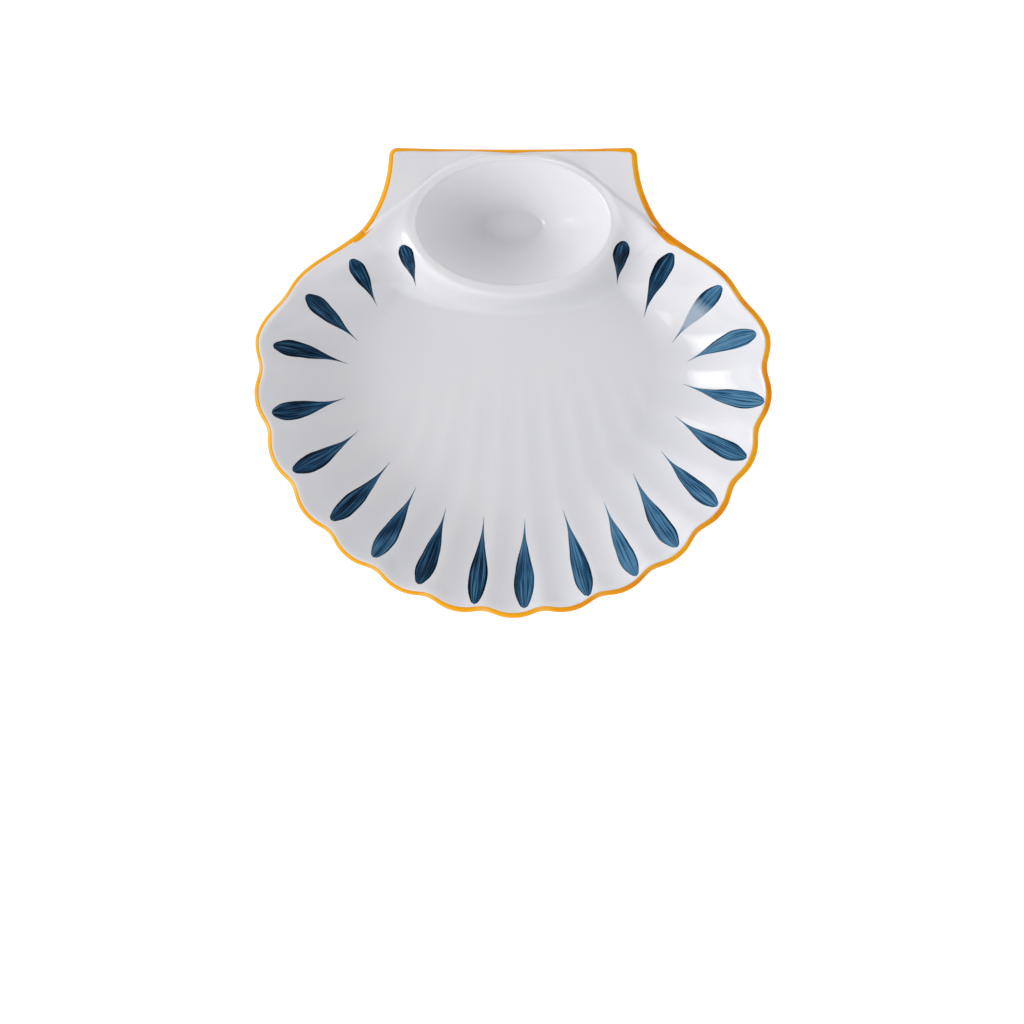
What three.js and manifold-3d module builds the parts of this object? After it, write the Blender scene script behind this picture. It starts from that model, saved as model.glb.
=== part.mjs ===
// A scallop-shell plate with an oval sauce well at its hinge, in millimetres.
// +Z is up, the front scallops point to -Y and the straight hinge edge lies at +Y.
// The origin is on the table, under the middle of the plate's outline.
import * as THREE from 'three';
import { mergeVertices } from 'three/addons/utils/BufferGeometryUtils.js';
import Module from 'manifold-3d';

const wasm = await Module();
wasm.setup();

// Overall sizes, over the painted rim
const plateWidth = 215;
const plateLength = 195.5;
const plateHeight = 34; // at the tips of the ears
const frontReach = 102.3; // shell centre to the front scallop tip

// Flutes: one trough every pitch round the shell centre, a scallop where each meets the rim
const flutesPerSide = 10; // painted flutes each side of the front one, the last past the notch
const scallopDepthFront = 2.1;
const scallopDepthSide = 2.5;
const scallopLift = 0.5; // ridges stand this much above troughs at the rim
const scallopRoundness = 0.12; // flattens the scallop tips and sharpens the ridges
const fluteFadeInside = 0.35; // share of the flute left where the wall meets the floor

// Rim outline behind the scallops
const shoulderAngle = 98; // degrees from the front, where the outline turns in to the hinge
const notchHalfWidth = 62.9; // the notch is where the ear begins
const earLength = 34.05; // hinge edge to notch
const creaseInset = 6.7; // wall of the shell behind the well to hinge edge
const creaseDip = 1.9; // the crease behind each notch cuts in by this much

// Heights above the table and the wall of the shell
const frontRimHeight = 31.6;
const sideRimHeight = 32.8;
const footHeight = 3.5;
const floorThickness = 4.5;
const lipThickness = 4;
const rimLean = 46; // slope of the wall at the rim, degrees
const floorHalfWidth = 62;
const floorHalfLength = 57;
const insideCurve = 1.8; // power of the wall's rise, seen from the dish
const outsideCurve = 1.5; // and from below

// Foot ring
const footHalfWidth = 69.5;
const footHalfLength = 56.5;
const footWidth = 4.5;
const footTaper = 0.8;

// Sauce well and the divider in front of it
const wellHalfWidth = 39.9;
const wellHalfLength = 25.9;
const wellRimHeight = 32;
const wellFloorHalfWidth = 11.5;
const wellFloorHalfLength = 6.3;
const wellWall = 4.5;
const wellLip = 2.1;
const wellCurve = 1.7;
const hingeStrip = 2.7; // ear panel left between the well's lip and the hinge edge
const dividerLip = 2;
const dividerSlopeFront = 3.8; // the divider falls to half its height about this far outside its crown
const dividerSlopeSide = 6.2; // and this far on its flanks, which run out over the wall of the shell
const dividerFall = 3; // power of that fall
const dividerToe = 0.1; // share of its height by which its foot is cut short
const dividerCore = 22; // its clay reaches this far in under the well's lip, up to the cup
const dividerEndGap = 2.6; // its ends stop this far inside the crease
const dividerStep = 0.25; // degrees round the well
const reachStep = 0.05;

// Hinge ears
const earHalfWidth = 51.5;
const earCornerRadius = 3.6;
const earSweep = 2.2; // power of the curve of the ear's side
const earHeel = 3; // ear starts this far behind the notch
const earLevelWidth = 31; // ears are level to here, then rise to their tips

// Painted lines and strokes
const rimLineGap = 0.2;
const rimLineCoat = 0.3;
const rimLineWrap = 75; // degrees of lip covered each side of its middle
const rimLineRun = 0.5; // degrees that the front line runs past each notch
const strokeCoat = 0.3;
const strokeWidth = 8;
const strokeLength = 36;
const strokeInset = 4; // rim to head
const strokeRimGap = 1.2; // heads stay this far below the lip
const flankWidth = 6; // the two strokes beside the well are smaller
const flankHeadTurn = 70.7; // degrees round the well from its front
const flankTailTurn = 49.4;
const flankHeadGap = 9.5; // from the well's edge
const flankTailGap = 14.4;
const fit = 0.3; // gap between pieces that touch

// Freehand differences of the strokes in the flutes, from the left round the front to the right:
// lean of the head and of the tail off the flute's middle (degrees), and shares of inset, length and width
const headLean = [1, 2, 2, 3, 4, 5, 5, 4, 4, 3, 5, 3, 1, 1, 0, 0, 1, 1, 1];
const tailLean = [10, 10, 5, 3, 1, 2, 2, 2, 2, 4, 6, 7, 8, 6, 4, 2, -4, -11, -13];
const insetShare = [2, 2.2, 1.8, 1.5, 1.5, 1.6, 1.5, 1.4, 1, 0.9, 1, 0.9, 0.9, 0.9, 0.9, 0.9, 1, 1.2, 1.5];
const lengthShare = [
  0.5, 0.67, 0.83, 0.83, 0.83, 0.92, 0.92, 0.89, 0.97, 1, 0.97, 0.89, 0.92, 0.86, 0.89, 0.92, 0.8, 0.72, 0.64,
];
const widthShare = [0.9, 1, 1, 1, 1, 1, 1, 1, 1, 1.05, 1, 1, 1.05, 1, 1.05, 1, 1, 1, 0.95];

// Mesh density
const facetsPerFlute = 6;
const backColumns = 16;
const insideRows = [0, 0.1, 0.2, 0.32, 0.44, 0.57, 0.7, 0.85, 1];
const outsideRows = [1, 0.8, 0.6, 0.4, 0.2, 0];
const lipFacets = 4;
const wellColumns = 48;
const wellRows = [0, 0.3, 0.6, 0.85, 1];
const footColumns = 72;
const dividerColumns = 36;
const dividerRows = [1, 0.88, 0.77, 0.68, 0.6, 0.53, 0.46, 0.4, 0.34, 0.27, 0.2, 0.1, 0];
const earSideSteps = 8;
const earHingeSteps = 10;
const earCornerSteps = 4;
const strokeStations = [0, 0.07, 0.2, 0.36, 0.55, 0.78, 1];
const strokeProfile = [0.42, 0.78, 0.98, 1, 0.74, 0.4, 0.07];
const probe = 0.01; // small step that finds the surface's slope

// Angles in degrees
const quarterTurn = 90;
const halfTurn = 180;
const fullTurn = 360;

// Derived sizes
const rimLineBuild = rimLineGap + rimLineCoat;
const lipRadius = lipThickness / 2;
const centreY = frontReach - plateLength / 2;
const hingeY = plateLength - frontReach - rimLineBuild;
const notchY = hingeY - earLength;
const notchRadius = Math.hypot(notchHalfWidth, notchY);
const notchAngle = halfTurn - THREE.MathUtils.radToDeg(Math.atan2(notchHalfWidth, notchY));
const flutePitch = notchAngle / (flutesPerSide - 0.5);
const earTipHeight = plateHeight - rimLineBuild;
const scallopTip = 1 - scallopRoundness;
const frontRadius = frontReach - rimLineBuild - (scallopTip * scallopDepthFront) / 2;
const floorTop = footHeight + floorThickness;
const wellY = hingeY - hingeStrip - fit - wellLip - wellHalfLength;
const wellFloorTop = footHeight + wellWall;
const dividerInside = wellLip + fit;
const dividerOutside = dividerInside + dividerLip;
const dividerCrown = dividerInside + dividerLip / 2;
const dividerRise = wellRimHeight - floorTop;

const rad = THREE.MathUtils.degToRad;
const mix = THREE.MathUtils.lerp;
const clamp = THREE.MathUtils.clamp;
const deg = THREE.MathUtils.radToDeg;
const smooth = (t) => THREE.MathUtils.smoothstep(t, 0, 1);
const smoothSlope = (t) => (smooth(t + probe) - smooth(t - probe)) / (2 * probe);
const sineSquared = (angle) => Math.sin(rad(angle)) ** 2;
const ovalRadius = (angle, halfWidth, halfLength) =>
  1 / Math.hypot(Math.sin(rad(angle)) / halfWidth, Math.cos(rad(angle)) / halfLength);

// Point at a plan radius and height, on the ray at an angle from the front of the shell centre
function around(angle, radius, height) {
  return new THREE.Vector3(radius * Math.sin(rad(angle)), -radius * Math.cos(rad(angle)), height);
}

// Closed mesh from points and faces, turned so that its faces point outwards
function closedMesh(points, faces) {
  const geometry = new THREE.BufferGeometry().setFromPoints(points);
  let volume = 0;
  for (const [a, b, c] of faces) {
    volume += points[a].dot(points[b].clone().cross(points[c]));
  }
  const turned = volume < 0 ? faces.map(([a, b, c]) => [a, c, b]) : faces;
  geometry.setIndex(turned.flat());
  geometry.computeVertexNormals();
  return geometry;
}

// Closed body from columns that all start at one pole and end at the other
function poleBody(columns) {
  const rows = columns[0].length - 2;
  const points = [columns[0][0], columns[0][rows + 1]];
  columns.forEach((column) => points.push(...column.slice(1, -1)));
  const index = (column, row) => 2 + (column % columns.length) * rows + row;
  const faces = [];
  for (let column = 0; column < columns.length; column++) {
    faces.push([0, index(column, 0), index(column + 1, 0)]);
    faces.push([1, index(column + 1, rows - 1), index(column, rows - 1)]);
    for (let row = 0; row < rows - 1; row++) {
      faces.push([index(column, row), index(column, row + 1), index(column + 1, row)]);
      faces.push([index(column + 1, row), index(column, row + 1), index(column + 1, row + 1)]);
    }
  }
  return closedMesh(points, faces);
}

// Closed body swept through sections, each a loop that runs out along one face and back along the other
function sweptBody(sections, isRing = false) {
  const count = sections[0].length;
  const points = sections.flat();
  const index = (section, k) => (section % sections.length) * count + (k % count);
  const faces = [];
  const spans = isRing ? sections.length : sections.length - 1;
  for (let section = 0; section < spans; section++) {
    for (let k = 0; k < count; k++) {
      faces.push([index(section, k), index(section + 1, k), index(section, k + 1)]);
      faces.push([index(section, k + 1), index(section + 1, k), index(section + 1, k + 1)]);
    }
  }
  if (!isRing) {
    const last = sections.length - 1;
    for (let k = 0, far = count - 1; k + 1 < far; k++, far--) {
      faces.push([index(0, k), index(0, k + 1), index(0, far)]);
      faces.push([index(last, k), index(last, far), index(last, k + 1)]);
      if (k + 1 < far - 1) {
        faces.push([index(0, k + 1), index(0, far - 1), index(0, far)]);
        faces.push([index(last, k + 1), index(last, far), index(last, far - 1)]);
      }
    }
  }
  return closedMesh(points, faces);
}

// Boolean cut of one closed mesh by another
function toManifold(geometry) {
  const bare = geometry.clone();
  bare.deleteAttribute('normal');
  const merged = mergeVertices(bare);
  const vertProperties = new Float32Array(merged.attributes.position.array);
  const triVerts = new Uint32Array(merged.index.array);
  return new wasm.Manifold(new wasm.Mesh({ numProp: 3, vertProperties, triVerts }));
}

function cut(geometry, tool) {
  const result = toManifold(geometry).subtract(toManifold(tool)).getMesh();
  const cutGeometry = new THREE.BufferGeometry();
  cutGeometry.setAttribute('position', new THREE.BufferAttribute(result.vertProperties, 3));
  cutGeometry.setIndex(new THREE.BufferAttribute(result.triVerts, 1));
  cutGeometry.computeVertexNormals();
  return cutGeometry;
}

// Rim: a scalloped outline that narrows from the shoulders to the notches and follows the crease behind
const widestAngle = Math.round(quarterTurn / flutePitch) * flutePitch;
const widestRim = (plateWidth / 2 - rimLineBuild) / Math.sin(rad(widestAngle));
const widestMean = widestRim - (scallopTip * scallopDepthSide) / 2;
const sideSwell = (widestMean - frontRadius) / sineSquared(widestAngle) ** 2;

// Share of the change from the fluted front to the smooth back, which runs from the shoulder to the notch
const backShare = (angle) => smooth((Math.abs(angle) - shoulderAngle) / (notchAngle - shoulderAngle));

function scallop(angle) {
  const phase = (2 * Math.PI * angle) / flutePitch;
  return (1 - backShare(angle)) * (Math.cos(phase) - scallopRoundness * Math.cos(2 * phase));
}

function meanRimRadius(angle) {
  const turn = Math.abs(angle);
  if (turn < shoulderAngle) {
    return frontRadius + sideSwell * sineSquared(turn) ** 2;
  }
  if (turn < notchAngle) {
    const t = (turn - shoulderAngle) / (notchAngle - shoulderAngle);
    return mix(frontRadius + sideSwell * sineSquared(shoulderAngle) ** 2, notchRadius, (t + smooth(t)) / 2);
  }
  const t = (turn - notchAngle) / (halfTurn - notchAngle);
  return mix(notchRadius, hingeY - creaseInset, t) - creaseDip * Math.sin(Math.PI * Math.sqrt(t));
}

const meanRimHeight = (angle) =>
  mix(frontRimHeight, sideRimHeight, sineSquared(Math.min(Math.abs(angle), quarterTurn)));
const halfDepth = (angle) => mix(scallopDepthFront, scallopDepthSide, sineSquared(angle)) / 2;
const rimRadius = (angle) => meanRimRadius(angle) + scallop(angle) * halfDepth(angle);
const rimHeight = (angle) => meanRimHeight(angle) - (scallop(angle) * scallopLift) / 2;

// Point on the round lip, by the direction from the lip's middle and the distance from its surface
function lipPoint(angle, direction, away) {
  const reach = lipRadius + away;
  const radius = rimRadius(angle) - lipRadius + reach * Math.cos(rad(direction));
  return around(angle, radius, rimHeight(angle) - lipRadius + reach * Math.sin(rad(direction)));
}

// Inside of the shell: flat oval floor, then a wall that rises to the lip. The wall is steepest at the lip in
// front, and levels out to it at the back.
const lipLean = (angle) => rimLean * (1 - backShare(angle));
const lipInset = (angle) => lipRadius * (1 + Math.sin(rad(lipLean(angle))));
const lipDrop = (angle) => lipRadius * (1 - Math.cos(rad(lipLean(angle))));
const wallStart = (angle) => ovalRadius(angle, floorHalfWidth, floorHalfLength);
const wallEnd = (angle) => meanRimRadius(angle) - lipInset(angle);
const wallRise = (angle) => meanRimHeight(angle) - lipDrop(angle) - floorTop;
const wallPlace = (angle, radius) =>
  Math.max(0, (radius - wallStart(angle)) / (wallEnd(angle) - wallStart(angle)));
const wallShare = (angle, w) => mix(w ** insideCurve, smooth(w), backShare(angle));

function insidePoint(angle, radius, away) {
  const w = wallPlace(angle, radius);
  const steepness = mix(insideCurve * w ** (insideCurve - 1), smoothSlope(w), backShare(angle));
  const slope = (wallRise(angle) * steepness) / (wallEnd(angle) - wallStart(angle));
  const tilt = Math.hypot(1, slope);
  const flute = scallop(angle) * mix(fluteFadeInside, 1, w) * smooth(radius / wallStart(angle));
  const outward = radius + flute * halfDepth(angle) - (away * slope) / tilt;
  const height = floorTop + wallRise(angle) * wallShare(angle, w) - (flute * scallopLift) / 2 + away / tilt;
  return around(angle, outward, height);
}

const insideStation = (angle, w, away) => insidePoint(angle, mix(wallStart(angle), wallEnd(angle), w), away);

// Outside of the shell: from the edge of the foot up to the underside of the lip
function outsideStation(angle, w) {
  const start = ovalRadius(angle, footHalfWidth, footHalfLength);
  const end = meanRimRadius(angle) - lipRadius * (1 - Math.sin(rad(lipLean(angle))));
  const top = meanRimHeight(angle) - lipRadius * (1 + Math.cos(rad(lipLean(angle))));
  const flute = scallop(angle) * w;
  const height = mix(footHeight, top, w ** outsideCurve) - (flute * scallopLift) / 2;
  return around(angle, mix(start, end, w) + flute * halfDepth(angle), height);
}

const shellAngles = [];
const flutedSteps = flutesPerSide * facetsPerFlute;
const backAngle = halfTurn - flutesPerSide * flutePitch;
for (let step = -flutedSteps; step <= flutedSteps; step++) {
  shellAngles.push((step * flutePitch) / facetsPerFlute);
}
for (let step = 1; step < backColumns; step++) {
  const turned = flutesPerSide * flutePitch + (2 * backAngle * step) / backColumns;
  shellAngles.push(turned > halfTurn ? turned - fullTurn : turned);
}

function shellColumn(angle) {
  const column = [new THREE.Vector3(0, 0, floorTop)];
  insideRows.forEach((w) => column.push(insideStation(angle, w, 0)));
  for (let k = 1; k < lipFacets; k++) {
    column.push(lipPoint(angle, lipLean(angle) + quarterTurn - (halfTurn * k) / lipFacets, 0));
  }
  outsideRows.forEach((w) => column.push(outsideStation(angle, w)));
  column.push(new THREE.Vector3(0, 0, footHeight));
  return column;
}

// Everything under the inside of the shell, used to trim what stands on it
function bedColumn(angle) {
  const column = [new THREE.Vector3(0, 0, floorTop + fit)];
  insideRows.forEach((w) => column.push(insideStation(angle, w, fit)));
  for (let k = 1; k < lipFacets; k++) {
    column.push(lipPoint(angle, lipLean(angle) + quarterTurn - (halfTurn * k) / lipFacets, fit));
  }
  column.push(around(angle, rimRadius(angle) + lipThickness, -footHeight));
  column.push(new THREE.Vector3(0, 0, -footHeight));
  return column;
}

// Sauce well: an oval cup with a round lip, given by the height up its wall
function wellPoint(turn, outwards, height) {
  const x = (wellHalfWidth + outwards) * Math.sin(rad(turn));
  return new THREE.Vector3(x, wellY - (wellHalfLength + outwards) * Math.cos(rad(turn)), height);
}

function wellWallPoint(turn, floorGrowth, rimGrowth, low, high, w) {
  const halfWidth = mix(wellFloorHalfWidth + floorGrowth, wellHalfWidth + rimGrowth, w);
  const halfLength = mix(wellFloorHalfLength + floorGrowth, wellHalfLength + rimGrowth, w);
  const y = wellY - halfLength * Math.cos(rad(turn));
  return new THREE.Vector3(halfWidth * Math.sin(rad(turn)), y, mix(low, high, w ** wellCurve));
}

const wellLipRadius = wellLip / 2;
const wellLipMiddle = wellRimHeight - wellLipRadius;

function wellColumn(turn) {
  const column = [new THREE.Vector3(0, wellY, wellFloorTop)];
  wellRows.forEach((w) => column.push(wellWallPoint(turn, 0, 0, wellFloorTop, wellLipMiddle, w)));
  for (let k = 1; k < lipFacets; k++) {
    const over = Math.PI * (1 - k / lipFacets);
    const outwards = wellLipRadius * (1 + Math.cos(over));
    column.push(wellPoint(turn, outwards, wellLipMiddle + wellLipRadius * Math.sin(over)));
  }
  for (const w of wellRows.toReversed()) {
    column.push(wellWallPoint(turn, wellWall, wellLip, footHeight, wellLipMiddle, w));
  }
  column.push(new THREE.Vector3(0, wellY, footHeight));
  return column;
}

// Room that the cup takes out of the shell, open above and below
function wellRoomColumn(turn) {
  const column = [new THREE.Vector3(0, wellY, wellRimHeight + lipThickness)];
  column.push(wellPoint(turn, wellLip + fit, wellRimHeight + lipThickness));
  for (const w of wellRows.toReversed()) {
    column.push(wellWallPoint(turn, wellWall + fit, wellLip + fit, footHeight - fit, wellLipMiddle, w));
  }
  column.push(wellWallPoint(turn, wellWall + fit, wellLip, -footHeight, wellLipMiddle, 0));
  column.push(new THREE.Vector3(0, wellY, -footHeight));
  return column;
}

const wellTurns = Array.from({ length: wellColumns }, (_, k) => (fullTurn * k) / wellColumns);

// Divider: it rises round the front of the well to the well's lip, and its flanks run out over the shell's wall
const dividerLipRadius = dividerLip / 2;
const dividerRunout = (1 / dividerToe) ** (1 / dividerFall);

function dividerSlope(turn) {
  const sideways = Math.abs(turn) < quarterTurn ? sineSquared(turn) : 1;
  return mix(dividerSlopeFront, dividerSlopeSide, sideways);
}

// Where a plan point lies, seen from the shell centre
function shellPlace(point) {
  return { angle: deg(Math.atan2(point.x, -point.y)), radius: Math.hypot(point.x, point.y) };
}

function dividerPoint(turn, outwards) {
  const { angle, radius } = shellPlace(wellPoint(turn, outwards, 0));
  const out = Math.max(0, outwards - dividerCrown) / dividerSlope(turn);
  const share = Math.max(0, (1 + dividerToe) / (1 + out ** dividerFall) - dividerToe);
  const wall = wallShare(angle, wallPlace(angle, radius));
  const both = Math.min(wallRise(angle), dividerRise);
  const rise = wallRise(angle) * wall + dividerRise * share - both * wall * share;
  return wellPoint(turn, outwards, floorTop + rise);
}

function gapToCrease(turn, outwards) {
  const { angle, radius } = shellPlace(wellPoint(turn, outwards, 0));
  return meanRimRadius(angle) - radius;
}

// The ends of the divider lie behind the middle of the well, where it comes close to the crease
let dividerEnd = quarterTurn;
while (gapToCrease(dividerEnd + dividerStep, dividerOutside) > dividerEndGap) {
  dividerEnd += dividerStep;
}

function dividerReach(turn) {
  let reach = dividerSlope(turn) * dividerRunout;
  while (gapToCrease(turn, dividerCrown + reach) < dividerEndGap) {
    reach -= reachStep;
  }
  return reach;
}

function dividerSection(turn) {
  const top = dividerRows.map((share) => dividerPoint(turn, dividerCrown + share * dividerReach(turn)));
  for (let k = 1; k <= lipFacets / 2; k++) {
    const over = Math.PI / 2 + (Math.PI * k) / lipFacets;
    const height = wellRimHeight - dividerLipRadius * (1 - Math.sin(over));
    top.push(wellPoint(turn, dividerCrown + dividerLipRadius * Math.cos(over), height));
  }
  top.push(wellPoint(turn, dividerInside - dividerCore, floorTop));
  const bottom = top.map((point) => new THREE.Vector3(point.x, point.y, footHeight));
  return [...top, ...bottom.toReversed()];
}

// Foot ring: an oval ring whose inside and outside faces draw in to the table
function footSection(angle) {
  const oval = (inset) => ovalRadius(angle, footHalfWidth - inset, footHalfLength - inset);
  const top = footHeight - fit;
  return [
    around(angle, oval(0), top),
    around(angle, oval(footTaper), 0),
    around(angle, oval(footWidth - footTaper), 0),
    around(angle, oval(footWidth), top),
  ];
}

// Hinge ears: flat panels outside the crease, with a round lip on the hinge edge and the side
const earSideX = (y) =>
  earHalfWidth + (notchHalfWidth - earHalfWidth) * ((hingeY - y) / earLength) ** earSweep;

// The ears are level beside the well and at the notch, and rise to their corners
function earHeight(point) {
  const outwards = (point.x - earLevelWidth) / (earSideX(point.y) - earLevelWidth);
  const backwards = (point.y - notchY) / earLength;
  return mix(wellRimHeight, earTipHeight, Math.max(0, outwards) * backwards);
}

// Distance from the shell centre to the back of the crease, or of the well's lip where that lies behind it
function creaseRadius(angle) {
  const halfWidth = wellHalfWidth + wellLip;
  const halfLength = wellHalfLength + wellLip;
  const sx = Math.sin(rad(angle)) / halfWidth;
  const sy = -Math.cos(rad(angle)) / halfLength;
  const offset = wellY / halfLength;
  const a = sx * sx + sy * sy;
  const inside = (sy * offset) ** 2 - a * (offset * offset - 1);
  const wellBack = inside > 0 ? (sy * offset + Math.sqrt(inside)) / a : 0;
  return Math.max(wellBack, meanRimRadius(angle)) + fit;
}

// Edge of the right ear, from its heel behind the notch up to the corner and along to the hinge middle
function earEdge() {
  const edge = [];
  const heelY = notchY + earHeel;
  const cornerY = hingeY - earCornerRadius;
  for (let step = 0; step <= earSideSteps; step++) {
    const y = mix(heelY, cornerY, step / earSideSteps);
    edge.push(new THREE.Vector2(earSideX(y), y));
  }
  const cornerX = earSideX(cornerY) - earCornerRadius;
  for (let step = 1; step < earCornerSteps; step++) {
    const turn = (Math.PI / 2) * (step / earCornerSteps);
    const x = cornerX + earCornerRadius * Math.cos(turn);
    edge.push(new THREE.Vector2(x, cornerY + earCornerRadius * Math.sin(turn)));
  }
  for (let step = 0; step <= earHingeSteps; step++) {
    edge.push(new THREE.Vector2(mix(cornerX, fit / 2, step / earHingeSteps), hingeY));
  }
  return edge;
}

const rightEdge = earEdge();
const edgeNormals = rightEdge.map((_, k) => {
  const before = rightEdge[Math.max(0, k - 1)];
  const after = rightEdge[Math.min(rightEdge.length - 1, k + 1)];
  return new THREE.Vector2(after.y - before.y, before.x - after.x).normalize();
});

// Crease point that faces each edge point: both run from the heel to the hinge middle
const heelAngle = notchAngle + deg(earHeel / notchRadius);
const hingeMiddleAngle = halfTurn - deg(Math.atan(fit / 2 / hingeY));

function creasePoint(k) {
  const angle = mix(heelAngle, hingeMiddleAngle, k / (rightEdge.length - 1));
  const point = around(angle, creaseRadius(angle), 0);
  return new THREE.Vector2(Math.max(point.x, fit / 2), point.y);
}

const creasePoints = rightEdge.map((_, k) => creasePoint(k));
const edgeInsets = rightEdge.map((point, k) => Math.min(lipRadius, point.distanceTo(creasePoints[k]) / 2));

// Point on an ear's round edge: direction 0 is up, 90 is out and 180 is down
function earEdgePoint(k, direction, away) {
  const normal = edgeNormals[k];
  const inset = edgeInsets[k];
  const reach = (inset + away) * Math.sin(rad(direction)) - inset;
  const middle = earHeight(rightEdge[k]) - lipRadius;
  const height = middle + (lipRadius + away) * Math.cos(rad(direction));
  return new THREE.Vector3(rightEdge[k].x + normal.x * reach, rightEdge[k].y + normal.y * reach, height);
}

function earSection(k) {
  const crease = creasePoints[k];
  const top = earHeight(crease);
  const section = [new THREE.Vector3(crease.x, crease.y, top)];
  for (let step = 0; step <= lipFacets; step++) {
    section.push(earEdgePoint(k, (halfTurn * step) / lipFacets, 0));
  }
  section.push(new THREE.Vector3(crease.x, crease.y, top - lipThickness));
  return section;
}

// The same section on the left
const mirrored = (section) => section.map((point) => new THREE.Vector3(-point.x, point.y, point.z));

// Painted lines: thin channels round the lip
function rimLineSection(pointAt) {
  const near = [];
  const far = [];
  for (let step = 0; step <= lipFacets; step++) {
    const swing = clamp(quarterTurn - (halfTurn * step) / lipFacets, -rimLineWrap, rimLineWrap);
    near.push(pointAt(swing, rimLineGap));
    far.push(pointAt(swing, rimLineBuild));
  }
  return [...far, ...near.toReversed()];
}

function frontLineSection(angle) {
  return rimLineSection((swing, away) => lipPoint(angle, lipLean(angle) + swing, away));
}

function hingeLineSection(k) {
  return rimLineSection((swing, away) => earEdgePoint(k, quarterTurn - swing, away));
}

// Point off a surface that is given by a turn and a distance, square to it
function offSurface(surface, turn, distance, away) {
  const base = surface(turn, distance);
  const outward = surface(turn, distance + probe).sub(base);
  const sideward = surface(turn + probe, distance).sub(base);
  return base.addScaledVector(outward.cross(sideward).normalize(), away);
}

// Brush strokes: thin tapered skins, each section a row of places across the stroke on the surface under it
const strokeSides = [-1, -0.5, 0, 0.5, 1];

function strokeSection(surface, places) {
  const skin = (away) => places.map(([turn, distance]) => offSurface(surface, turn, distance, away));
  return [...skin(fit), ...skin(fit + strokeCoat).toReversed()];
}

// In a flute the head lies at the rim and the tail on the floor
function fluteStroke(number) {
  const flute = (number + 1 - flutesPerSide) * flutePitch;
  const headAngle = flute + headLean[number];
  const belowLip = wallEnd(headAngle) - strokeRimGap;
  const headRadius = Math.min(meanRimRadius(headAngle) - strokeInset * insetShare[number], belowLip);
  const tailRadius = headRadius - strokeLength * lengthShare[number];
  const halfWidth = (strokeWidth * widthShare[number]) / 2;
  return strokeStations.map((t, k) => {
    const angle = mix(headAngle, flute + tailLean[number], t);
    const radius = mix(headRadius, tailRadius, t);
    const swing = deg((halfWidth * strokeProfile[k]) / radius);
    const inside = (turn, distance) => insidePoint(turn, distance, 0);
    return strokeSection(inside, strokeSides.map((side) => [angle + side * swing, radius]));
  });
}

// Beside the well a stroke runs down the flank of the divider
function flankStroke() {
  return strokeStations.map((t, k) => {
    const turn = mix(flankHeadTurn, flankTailTurn, t);
    const gap = mix(flankHeadGap, flankTailGap, t);
    const halfWidth = (flankWidth * strokeProfile[k]) / 2;
    return strokeSection(dividerPoint, strokeSides.map((side) => [turn, gap + side * halfWidth]));
  });
}

// Finishes
const glaze = new THREE.MeshStandardMaterial({ color: 0xeceef1, roughness: 0.12, metalness: 0 });
const barePaste = new THREE.MeshStandardMaterial({ color: 0xe2ddd2, roughness: 0.6, metalness: 0 });
const orangeLine = new THREE.MeshStandardMaterial({ color: 0xf09a14, roughness: 0.2, metalness: 0 });
const cobalt = new THREE.MeshStandardMaterial({ color: 0x1c4266, roughness: 0.2, metalness: 0 });

// The plate: everything is placed round the shell centre
const plate = new THREE.Group();
const shell = new THREE.Group();
shell.position.set(0, centreY, 0);
plate.add(shell);

function addPiece(name, geometry, material) {
  const mesh = new THREE.Mesh(geometry, material);
  mesh.name = name;
  shell.add(mesh);
}

const bowl = poleBody(shellAngles.map(shellColumn));
const bed = poleBody(shellAngles.map(bedColumn));
const wellRoom = poleBody(wellTurns.map(wellRoomColumn));
const dividerTurns = Array.from({ length: dividerColumns + 1 }, (_, k) =>
  mix(-dividerEnd, dividerEnd, k / dividerColumns));
const footAngles = Array.from({ length: footColumns }, (_, k) => (fullTurn * k) / footColumns);
const frontLineAngles = shellAngles.filter((angle) => Math.abs(angle) <= notchAngle + rimLineRun);
const rightEarSections = rightEdge.map((_, k) => earSection(k));
const rightLineSections = rightEdge.map((_, k) => hingeLineSection(k));
const hingeLineSections = [...rightLineSections, ...rightLineSections.map(mirrored).toReversed()];

addPiece('dish_shell', cut(bowl, wellRoom), glaze);
addPiece('well_divider', cut(cut(sweptBody(dividerTurns.map(dividerSection)), bed), wellRoom), glaze);
addPiece('sauce_well', poleBody(wellTurns.map(wellColumn)), glaze);
addPiece('hinge_ear_right', sweptBody(rightEarSections), glaze);
addPiece('hinge_ear_left', sweptBody(rightEarSections.map(mirrored)), glaze);
addPiece('foot_ring', sweptBody(footAngles.map(footSection), true), barePaste);
addPiece('rim_line_front', sweptBody(frontLineAngles.map(frontLineSection)), orangeLine);
addPiece('rim_line_hinge', sweptBody(hingeLineSections), orangeLine);
const rightFlank = flankStroke();
const strokes = [rightFlank.map(mirrored), ...headLean.map((_, number) => fluteStroke(number)), rightFlank];
strokes.forEach((sections, number) => {
  const name = `brush_stroke_${String(number + 1).padStart(2, '0')}`;
  addPiece(name, sweptBody(sections), cobalt);
});

export default plate;
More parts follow.
